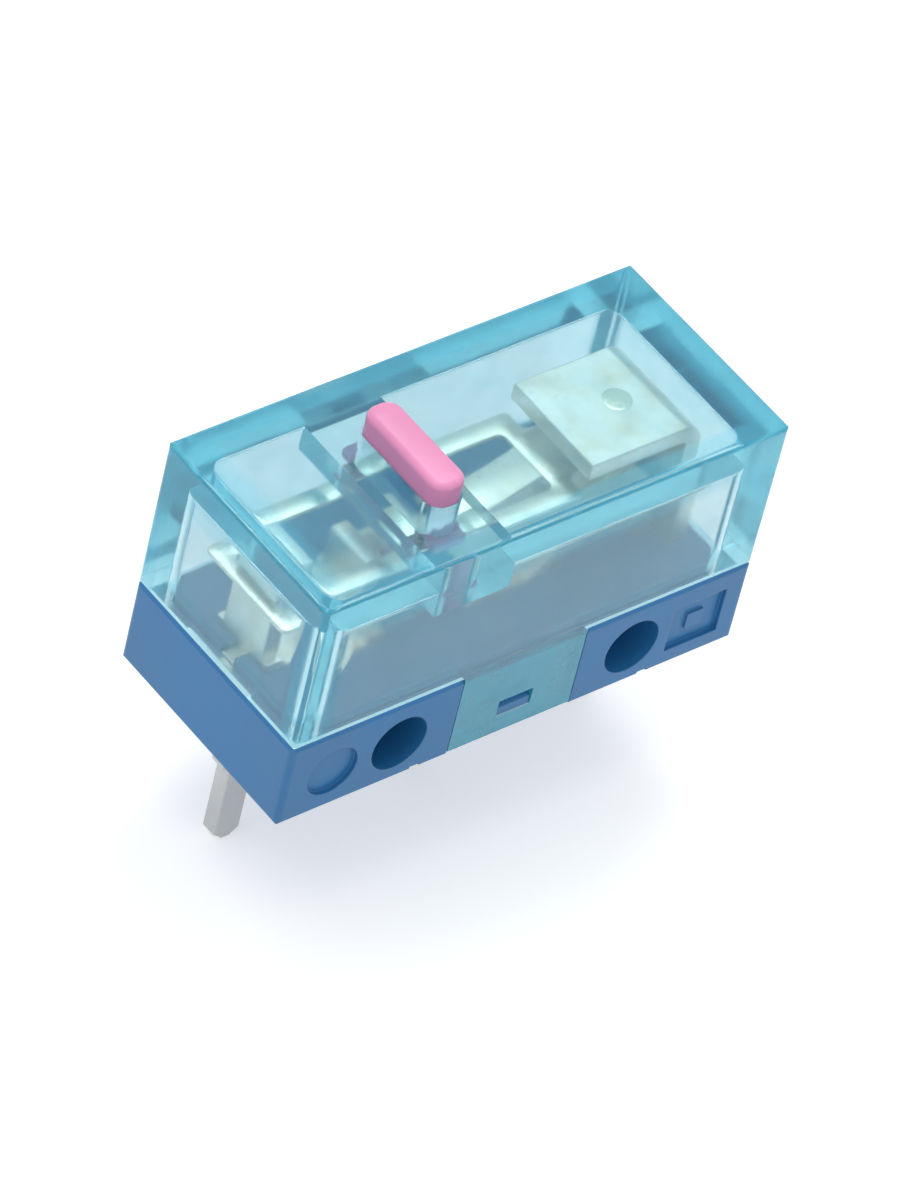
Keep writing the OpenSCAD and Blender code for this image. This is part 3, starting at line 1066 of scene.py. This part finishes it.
@dataclass
class Terminals:
    """The three terminals: solder pins outside, and folded sheet inside the switch.

    The common one has two posts, post_span apart, with a notch for the spring in each. The open
    one's ramp starts at step. The closed one's upright goes down by root below the floor.
    """

    layout: Layout
    shoulder: float = 1.1 * MM
    shoulder_length: float = 1.1 * MM
    pin: float = 0.7 * MM
    pin_length: float = 3.5 * MM
    tip: float = 0.2 * MM
    plate: float = 1.8 * MM
    closed_plate: float = 2.9 * MM
    closed_length: float = 2.98 * MM
    post: float = 1.4 * MM
    hook_rise: float = 0.4 * MM
    notch: float = 0.14 * MM
    notch_gap: float = 0.05 * MM
    notch_lean: float = 0.012 * MM
    post_span: float = 2.1 * MM
    seat_rise: float = 0.1 * MM
    step: float = 1.3 * MM
    root: float = 1.3 * MM
    edge: float = 0.05 * MM
    # Its tin_and_shade_z puts the tin grey with painted shade on the pins below the body
    finish: SheetMetal = SheetMetal(
        Slot.TERMINAL, (1.0, 0.93, 0.85), (0.97, 0.85, 0.69), tin_and_shade_z=-0.6 * MM, lines=(1.0, 1.0, 0.05)
    )

    def _blade(self, x: float, top: float) -> Patch:
        """A terminal's blade: a shoulder, a sloping neck, a narrow pin and a bevelled tip.

        Args:
            x: Its place along the body.
            top: The height of its top.

        Returns:
            The closed surface.
        """
        wide, narrow = self.shoulder / 2, self.pin / 2
        neck = -self.shoulder_length - (self.shoulder - self.pin) / 2
        heights = [top, -self.shoulder_length, neck, self.tip - self.pin_length, -self.pin_length]
        halves = [wide, wide, narrow, narrow, narrow - self.tip]
        rows = [[x, z, self.layout.sheet / 2, -w, w] for z, w in zip(heights, halves)]
        return ribbon(np.array(rows), self.edge)

    def _strip(self, corners: Sequence[tuple[float, ...]]) -> Patch:
        """Folded sheet of the terminals' thickness.

        Args:
            corners: For each corner: x, z, half the width and, in a notch, how far the lower and
                the upper face draw back.

        Returns:
            The closed surface.
        """
        half = self.layout.sheet / 2
        rows = []
        for x, z, width, *drawn in corners:
            below, above = drawn or (0.0, 0.0)
            rows.append([x, z, width, below - half, half - above])
        return ribbon(folded(np.array(rows), self.layout.fold), self.edge)

    def _common(self) -> list[Patch]:
        """The common terminal: two posts, one with a hook's notch and one with a seat's.

        Returns:
            Its sheet and its blade.
        """
        hook, seat = -self.layout.pitch, self.post_span - self.layout.pitch
        low, web, post = self.layout.sheet_middle, self.plate / 2, self.post / 2
        waist = self.layout.floor + self.layout.fold / 2
        gap, lean = self.layout.spring + self.notch_gap, self.notch_lean
        middle = self.layout.spring_middle
        seat_z = middle - self.layout.seat_drop
        # The lower face looks along -X on the way down the hook post, and along +X on the way up
        hooked = [
            (hook, middle + self.layout.spring / 2 + self.hook_rise, post),
            *_notch(hook, middle + gap, middle - gap, post, (self.notch, 0.0), lean),
            (hook, waist + lean, post),
            (hook, waist, web),
        ]
        seated = [
            (seat, waist, web),
            (seat, waist + lean, post),
            *_notch(seat, seat_z - gap, seat_z + gap, post, (self.notch, 0.0), -lean),
            (seat, seat_z + 2 * self.layout.spring + self.seat_rise, post),
        ]
        corners = hooked + [(hook, low, web), (seat, low, web)] + seated
        return [self._strip(corners), self._blade(hook, self.layout.blade_top)]

    def _open(self) -> list[Patch]:
        """The normally open terminal: flush with the floor, then a ramp up to its plate.

        Returns:
            Its sheet and its blade.
        """
        low, half = self.layout.sheet_middle, self.plate / 2
        high = self.layout.open_plate - self.layout.sheet / 2
        rise = self.layout.open_plate - self.layout.floor
        corners = [
            (-self.shoulder / 2, low, half),
            (self.step, low, half),
            (self.step + rise, high, half),
            (self.layout.arm_end, high, half),
        ]
        return [self._strip(corners), self._blade(0.0, self.layout.blade_top)]

    def _closed(self) -> list[Patch]:
        """The normally closed terminal: an upright that folds over to a plate under the roof.

        Returns:
            Its sheet and its blade.
        """
        x, half = self.layout.pitch, self.closed_plate / 2
        high = self.layout.closed_plate + self.layout.sheet / 2
        corners = [
            (x, self.layout.floor - self.root, half),
            (x, high, half),
            (x - self.closed_length, high, half),
        ]
        return [self._strip(corners), self._blade(x, self.layout.floor - self.layout.sheet)]

    def build(self) -> list[bpy.types.Object]:
        """Makes the three terminals, which ride on the case.

        Returns:
            The terminals.
        """
        finish = self.finish.material()
        shapes = {
            "common_terminal": self._common(),
            "normally_open_terminal": self._open(),
            "normally_closed_terminal": self._closed(),
        }
        made = []
        for node, patches in shapes.items():
            terminal = piece(node.replace("terminal", "blade"), patches, finish)
            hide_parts(node)
            made.append(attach(terminal, Body.CASE.value))
        return made


@dataclass
class SnapSpring:
    """The slotted leaf and its bowed tongue, which bend between the posts and the contact.

    The leaf is a band behind the hook post, two legs and an arm. The tongue runs from its seat
    to its root, at the arm's end of the slot. A pressed leaf is level from pressed_x on.
    """

    layout: Layout
    width: float = 2.9 * MM
    leg: float = 0.5 * MM
    arm: float = 1.6 * MM
    band: float = 0.4 * MM
    tongue: float = 1.0 * MM
    root_x: float = 1.6 * MM
    band_x: float = -5.195 * MM
    seat_x: float = -2.865 * MM
    pressed_x: float = -2.42 * MM
    bow: float = 0.22 * MM
    tongue_root: float = 0.12 * MM
    tongue_thickness: float = 0.96
    tongue_steps: int = 41
    corner: float = 0.18 * MM
    edge: float = 0.018 * MM
    edge_steps: int = 3
    outline_points: tuple[int, ...] = (6, 6, 56, 3, 5, 10, 12)
    slot_cuts: tuple[float, ...] = (0.72, 0.64, 0.45)
    finish: SheetMetal = SheetMetal(
        Slot.SPRING, (0.95, 0.89, 0.76), (0.88, 0.81, 0.68), roughness=0.26, relief=0.0005 * MM
    )

    def _outlines(self) -> tuple[np.ndarray, np.ndarray]:
        """The leaf's outer and inner outline, point for point.

        Both run from the middle of the band, along one leg, to the middle of the arm's end, in
        straight stretches and quarter circles. outline_points holds how many points each has,
        and slot_cuts where the slot's end is cut up to match the outside, as shares of half its
        width. The other half mirrors them.

        Returns:
            The outer and the inner points, each x and y.
        """
        r, slot, half, arm = self.corner, self.width / 2 - self.leg, self.width / 2, self.arm / 2
        left, right = self.band_x - self.band, self.root_x + self.leg
        tip = self.layout.arm_end - arm
        band, turn, leg, root, fillet, side, nose = self.outline_points
        outer = [
            _line((left, 0), (left, half - r), band),
            _arc((left + r, half - r), r, 2 * QUARTER, QUARTER, turn),
            _line((left + r, half), (right - r, half), leg),
            _arc((right - r, half - r), r, QUARTER, 0, turn),
            _line((right, half - r), (right, arm + r), root),
            _arc((right + r, arm + r), r, 2 * QUARTER, 3 * QUARTER, fillet),
            _line((right + r, arm), (tip, arm), side),
            _arc((tip, 0), arm, QUARTER, 0, nose),
        ]
        left, right = self.band_x, self.root_x
        inner = [
            _line((left, 0), (left, slot - r), band),
            _arc((left + r, slot - r), r, 2 * QUARTER, QUARTER, turn),
            _line((left + r, slot), (right - r, slot), leg),
            _arc((right - r, slot - r), r, QUARTER, 0, turn),
        ]
        cuts = [slot - r, *(share * slot for share in self.slot_cuts), 0]
        for start, end, count in zip(cuts[:-1], cuts[1:], (root, fillet, side, nose)):
            inner.append(_line((right, start), (right, end), count))
        return np.vstack(outer), np.vstack(inner)

    def _leaf(self) -> Patch:
        """The leaf: a rounded section carried round the slot, as wide as the metal is there.

        Returns:
            The closed surface.
        """
        outer, inner = self._outlines()
        mirror = np.array([1.0, -1.0])
        outer = np.vstack([outer, [[self.layout.arm_end, 0]], outer[:0:-1] * mirror])
        inner = np.vstack([inner, [[self.root_x, 0]], inner[:0:-1] * mirror])
        middle, way = (outer + inner) / 2, _unit(outer - inner)
        half = np.linalg.norm(outer - inner, axis=1) / 2
        level = np.full(len(half), self.layout.spring / 2)
        radius = np.full(len(half), self.edge)
        across, through = rounded_ring(half, -level, level, radius, self.edge_steps)
        flat = middle[:, None, :] + way[:, None, :] * across[:, :, None]
        height = self.layout.spring_middle + through
        return Patch(np.stack([flat[:, :, 0], flat[:, :, 1], height], axis=-1), looped=True)

    def _tongue(self) -> Patch:
        """The tongue: a strip along a circle's arc from the seat to the leaf.

        The arc bows below its chord. Its radius is (h^2 + b^2) / 2b for half a chord h and a
        bow b.

        Returns:
            The closed surface.
        """
        seat = np.array([self.seat_x, self.layout.spring_middle - self.layout.seat_drop])
        root = np.array([self.root_x + self.tongue_root, self.layout.spring_middle])
        way = _unit(root - seat)
        half = np.linalg.norm(root - seat) / 2
        radius = (half**2 + self.bow**2) / (2 * self.bow)
        centre = (seat + root) / 2 + np.array([-way[1], way[0]]) * (radius - self.bow)
        sweep = np.linspace(-1, 1, self.tongue_steps) * math.asin(half / radius)
        down = np.array([way[1], -way[0]])
        place = centre + radius * (np.sin(sweep)[:, None] * way + np.cos(sweep)[:, None] * down)
        thick = self.tongue_thickness * self.layout.spring / 2
        section = np.tile([self.tongue / 2, -thick, thick], (len(place), 1))
        return ribbon(np.hstack([place, section]), self.edge)

    def build(self) -> list[bpy.types.Object]:
        """Makes the leaf and the tongue, and bakes each one's place into its mesh.

        Neither is bent or given a body, and the spans listed in bends are not used.

        Returns:
            The two pieces.
        """
        finish = self.finish.material()
        leaf = piece("snap_leaf", [self._leaf()], finish)
        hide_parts("snap_spring")
        tongue = piece("snap_tongue", [self._tongue()], finish)
        bends = ((leaf, self.band_x, self.pressed_x), (tongue, self.seat_x, self.root_x))
        for made, fixed_x, moving_x in bends:
            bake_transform(made)
        return [leaf, tongue]


@dataclass
class Contacts:
    """The rivets: a double one on the spring, and one on each fixed terminal.

    pole is the radius of the small flat that closes a head or a tail.
    """

    layout: Layout
    radius: float = 0.55 * MM
    dome: float = 1.6 * MM
    shank: float = 0.3 * MM
    edge: float = 0.03 * MM
    tail: float = 0.012 * MM
    tail_flare: float = 0.05 * MM
    pole: float = 0.004 * MM
    face_steps: int = 12
    rim_steps: int = 5
    finish: SheetMetal = SheetMetal(
        Slot.CONTACT, (0.95, 0.87, 0.68), (0.88, 0.79, 0.60), roughness=0.2, lines=(1.0, 1.0, 1.0)
    )

    def _head(self, foot: float, way: float) -> np.ndarray:
        """A domed head's profile from its pole to its foot.

        The face is a circle of radius dome, the rim a small quarter circle, the side upright.

        Args:
            foot: The height of the head's underside.
            way: 1 for a head that looks up, and -1 for one that looks down.

        Returns:
            The points, each a radius and a height.
        """
        face = np.linspace(self.pole, self.radius - self.edge, self.face_steps)
        drop = self.dome - np.sqrt(self.dome**2 - face**2)
        turn = np.linspace(0, QUARTER, self.rim_steps)[1:]
        rim = self.layout.contact - drop[-1]
        out = self.radius - self.edge + self.edge * np.sin(turn)
        down = rim - self.edge * (1 - np.cos(turn))
        radius = np.concatenate([face, out, [self.radius]])
        height = np.concatenate([self.layout.contact - drop, down, [0.0]])
        return np.stack([radius, foot + way * height], axis=1)

    def _fixed(self, face: float, way: float) -> Patch:
        """A rivet through a terminal's plate, with its tail pressed flat on the far side.

        Args:
            face: The height of the plate's face, which the head lies on.
            way: 1 for a head that looks up, and -1 for one that looks down.

        Returns:
            The closed surface.
        """
        back = face - way * self.layout.sheet
        turn = np.linspace(0, QUARTER, self.rim_steps)
        out = self.shank + self.tail_flare * np.cos(turn)
        tail = np.stack([out, back - way * self.tail * np.sin(turn)], axis=1)
        pole = [[self.pole, back - way * self.tail]]
        profile = np.vstack([self._head(face, way), [[self.shank, face]], tail, pole])
        return lathe(profile, (self.layout.contact_x, 0.0))

    def _double(self) -> Patch:
        """The spring's rivet, with a head above and one below.

        Returns:
            The closed surface.
        """
        top, low = self.layout.spring_top, self.layout.spring_top - self.layout.spring
        waist = [[self.shank, top], [self.shank, low]]
        profile = np.vstack([self._head(top, 1.0), waist, self._head(low, -1.0)[::-1]])
        return lathe(profile, (self.layout.contact_x, 0.0))

    def build(self) -> list[bpy.types.Object]:
        """Makes the three rivets.

        Returns:
            The rivets.
        """
        finish = self.finish.material()
        plans = (
            ("moving_contact", self._double(), Body.BLADE),
            ("normally_open_contact", self._fixed(self.layout.open_plate, 1.0), Body.CASE),
            ("normally_closed_contact", self._fixed(self.layout.closed_plate, -1.0), Body.CASE),
        )
        made = []
        for node, patch, body in plans:
            rivet = piece(node.replace("contact", "rivet"), [patch], finish)
            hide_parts(node)
            made.append(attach(rivet, body.value))
        return made


# ---------------------------------------------------------------- studio


@dataclass(frozen=True)
class Lamp:
    """A soft square lamp: its place, the length of its side and its power in watts."""

    name: str
    place: Triple
    side: float
    power: float


@dataclass
class Studio:
    """A pale floor, soft lamps and the camera.

    Angles are in degrees: azimuth from +X, elevation from the floor, and roll about the view.
    """

    floor_z: float = -3.5 * MM
    floor_size: float = 3.0
    floor_colour: Colour = (0.8, 0.805, 0.81)
    floor_shade: float = 0.985
    floor_cloud: float = 0.03
    floor_glow: float = 0.42
    sky: Colour = (0.97, 0.985, 1.0)
    sky_level: float = 0.72
    aim: Triple = (0.25 * MM, -0.05 * MM, 1.35 * MM)
    azimuth: float = -137.2
    elevation: float = 43.4
    roll: float = 14.45
    distance: float = 192 * MM
    lens: float = 262.0
    lamps: tuple[Lamp, ...] = (
        Lamp("key_lamp", (-0.10, 0.02, 0.26), 0.16, 0.14),
        Lamp("top_lamp", (0.110, 0.102, 0.283), 0.12, 0.26),
    )

    def _floor(self) -> None:
        """Lays the floor that the pins stand on."""
        graph = Surface("floor_paper")
        shaded = tuple(c * self.floor_shade for c in self.floor_colour)
        cloud = graph.noise(self.floor_cloud, Detail.GRAIN)
        graph.set(
            base_color=graph.mix(cloud, self.floor_colour, shaded),
            roughness=0.9,
            specular_ior_level=0.1,
            emission_color=(1.0, 1.0, 1.0, 1.0),
            emission_strength=self.floor_glow * graph.seen(),
        )
        reach = self.floor_size / 2
        corners = np.array([[-1, -1, 0], [1, -1, 0], [1, 1, 0], [-1, 1, 0]]) * reach
        mesh = bpy.data.meshes.new("floor")
        mesh.from_pydata((corners + [0, 0, self.floor_z]).tolist(), [], [[0, 1, 2, 3]])
        mesh.materials.append(graph.material)
        floor = shown("floor", mesh)

    def _sky(self) -> None:
        """Lights the scene evenly, and shows white to the camera, in gloss and through clear walls."""
        world = bpy.data.worlds.new("studio")
        bpy.context.scene.world = world
        world.use_nodes = True
        graph = Graph(world.node_tree)
        strength = self.sky_level + (1 - self.sky_level) * graph.seen()
        sky = graph.node("ShaderNodeBackground", sockets={"Color": (*self.sky, 1.0), "Strength": strength})
        graph.node("ShaderNodeOutputWorld", sockets={"Surface": graph.wire(sky)})

    def _hang(self, lamp: Lamp) -> None:
        """Adds one lamp, turned to look at the switch.

        Args:
            lamp: The lamp.
        """
        light = bpy.data.lights.new(lamp.name, "AREA")
        light.size = lamp.side
        light.energy = lamp.power
        hung = shown(lamp.name, light)
        hung.location = lamp.place
        hung.rotation_mode = "QUATERNION"
        hung.rotation_quaternion = (Vector(lamp.place) - Vector(self.aim)).to_track_quat("Z", "Y")

    def _camera(self) -> None:
        """Adds the camera, which looks at the aim from its azimuth and elevation, rolled a little."""
        camera = bpy.data.cameras.new("camera")
        camera.lens = self.lens
        camera.sensor_width = 36.0
        camera.clip_start = 0.01
        camera.clip_end = 10.0
        holder = shown("camera", camera)
        turn, tilt = math.radians(self.azimuth), math.radians(self.elevation)
        back = Vector((math.cos(tilt) * math.cos(turn), math.cos(tilt) * math.sin(turn), math.sin(tilt)))
        holder.location = Vector(self.aim) + back * self.distance
        holder.rotation_mode = "QUATERNION"
        rolled = Quaternion((0, 0, 1), math.radians(self.roll))
        holder.rotation_quaternion = back.to_track_quat("Z", "Y") @ rolled
        bpy.context.scene.camera = holder

    def build(self) -> None:
        """Sets up the floor, the sky, the lamps, the camera and the plain view transform."""
        self._camera()
        self._floor()
        self._sky()
        for lamp in self.lamps:
            self._hang(lamp)
        bpy.context.scene.view_settings.view_transform = "Standard"
        self._depth()

    def _depth(self) -> None:
        """Lets light find its way out of the clear walls, which reflect it inside many times."""
        cycles = bpy.context.scene.cycles
        cycles.max_bounces = 32
        cycles.glossy_bounces = 24
        cycles.transmission_bounces = 24


# ---------------------------------------------------------------- the switch


def main() -> None:
    """Dresses the switch piece by piece."""
    logging.basicConfig(level=logging.INFO, format="%(message)s")
    for leftover in list(bpy.data.objects):
        bpy.data.objects.remove(leftover)
    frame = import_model()
    Studio().build()
    layout = Layout()
    Housing().dress(frame["nodes"])
    made = [Button(layout).build()]
    made += Terminals(layout).build()
    made += SnapSpring(layout).build()
    made += Contacts(layout).build()
    for built in made:
        LOG.info("%s: %d faces", built.name, len(built.data.polygons))


if __name__ == "__main__":
    main()
